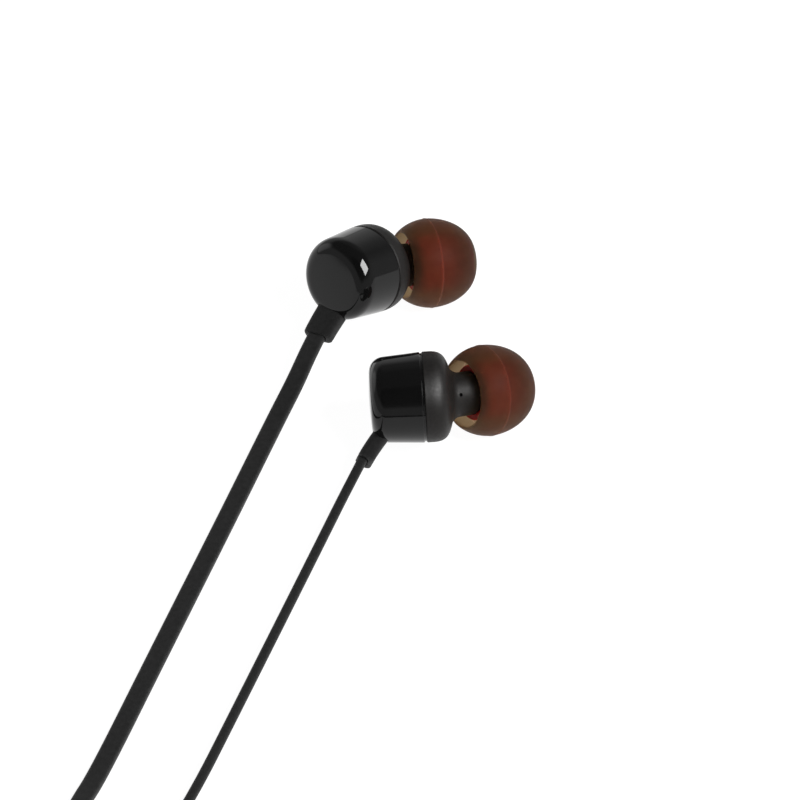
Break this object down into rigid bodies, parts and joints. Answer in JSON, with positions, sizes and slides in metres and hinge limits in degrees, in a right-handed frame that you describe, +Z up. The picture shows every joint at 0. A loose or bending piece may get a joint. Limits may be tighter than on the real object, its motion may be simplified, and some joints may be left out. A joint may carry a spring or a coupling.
{
  "type": "wired earphones",
  "caption": "In-ear earphones: glossy barrels with tilted nozzles, translucent ear tips and flat cords that meet at a splitter and end in a jack plug.",
  "frame": {"origin": "on the surface the earphones lie on, under the middle of the box round the two earbuds", "axes": "+Z up; +Y away from the cords, along the box's long side; +X to the right, towards the ear tips"},
  "size_m": [0.0703, 0.1756, 0.0153],
  "materials": {
    "shell_gloss": "polished black ABS",
    "shell_matte": "fine spark-eroded black ABS",
    "boot_rubber": "matte black TPE",
    "tip_skirt": "translucent smoky brown silicone",
    "tip_stem": "red silicone",
    "driver_plastic": "moulded driver frame",
    "driver_steel": "pressed steel",
    "magnet": "nickel-plated neodymium",
    "copper_wire": "enamelled copper winding",
    "film": "thin polymer film",
    "circuit_board": "green solder mask",
    "mesh_metal": "woven steel mesh",
    "felt": "damping felt",
    "cord_jacket": "matte black TPE",
    "moulded_rubber": "matte black TPE",
    "button_plastic": "satin black",
    "switch_metal": "metal can",
    "contact_plating": "nickel plating",
    "insulator": "black nylon",
    "tie_silicone": "black silicone strap"
  },
  "bodies": {
    "earphones": {"left_rear_shell": "shell_gloss", "left_front_shell": "shell_matte", "left_strain_relief": "boot_rubber", "left_driver_frame": "driver_plastic", "left_driver_yoke": "driver_steel", "left_driver_magnet": "magnet", "left_driver_plate": "driver_steel", "left_voice_coil": "copper_wire", "left_diaphragm": "film", "left_driver_grille": "driver_steel", "left_terminal_board": "circuit_board", "left_nozzle_mesh": "mesh_metal", "left_vent_felt": "felt", "right_rear_shell": "shell_gloss", "right_front_shell": "shell_matte", "right_strain_relief": "boot_rubber", "right_driver_frame": "driver_plastic", "right_driver_yoke": "driver_steel", "right_driver_magnet": "magnet", "right_driver_plate": "driver_steel", "right_voice_coil": "copper_wire", "right_diaphragm": "film", "right_driver_grille": "driver_steel", "right_terminal_board": "circuit_board", "right_nozzle_mesh": "mesh_metal", "right_vent_felt": "felt", "left_cord": "cord_jacket", "right_cord_upper": "cord_jacket", "right_cord_lower": "cord_jacket", "main_cord_start": "cord_jacket", "main_cord_coil": "cord_jacket", "main_cord_end": "cord_jacket", "splitter": "moulded_rubber", "remote_front_shell": "shell_matte", "remote_rear_shell": "shell_matte", "remote_board": "circuit_board", "remote_switch": "switch_metal", "microphone": "switch_metal", "plug_relief": "moulded_rubber", "plug_handle": "moulded_rubber", "plug_sleeve": "contact_plating", "plug_ring_2": "contact_plating", "plug_ring_1": "contact_plating", "plug_tip": "contact_plating", "plug_insulators": "insulator", "cord_tie": "tie_silicone"},
    "left_ear_tip": {"left_ear_tip_skirt": "tip_skirt", "left_ear_tip_stem": "tip_stem"},
    "right_ear_tip": {"right_ear_tip_skirt": "tip_skirt", "right_ear_tip_stem": "tip_stem"},
    "remote_button": {"remote_button": "button_plastic"}
  },
  "joints": [
    {"name": "left_ear_tip_pull", "type": "slide", "parent": "earphones", "child": "left_ear_tip", "axis": [0.844, 0.4653, -0.2668], "range_m": [0, 0.009]},
    {"name": "right_ear_tip_pull", "type": "slide", "parent": "earphones", "child": "right_ear_tip", "axis": [0.9405, 0.2989, -0.1614], "range_m": [0, 0.009]},
    {"name": "remote_button_press", "type": "slide", "parent": "earphones", "child": "remote_button", "axis": [0, 0, -1], "range_m": [0, 0.00025], "stiffness_N_per_m": 4000, "springref_m": -0.00005}
  ]
}
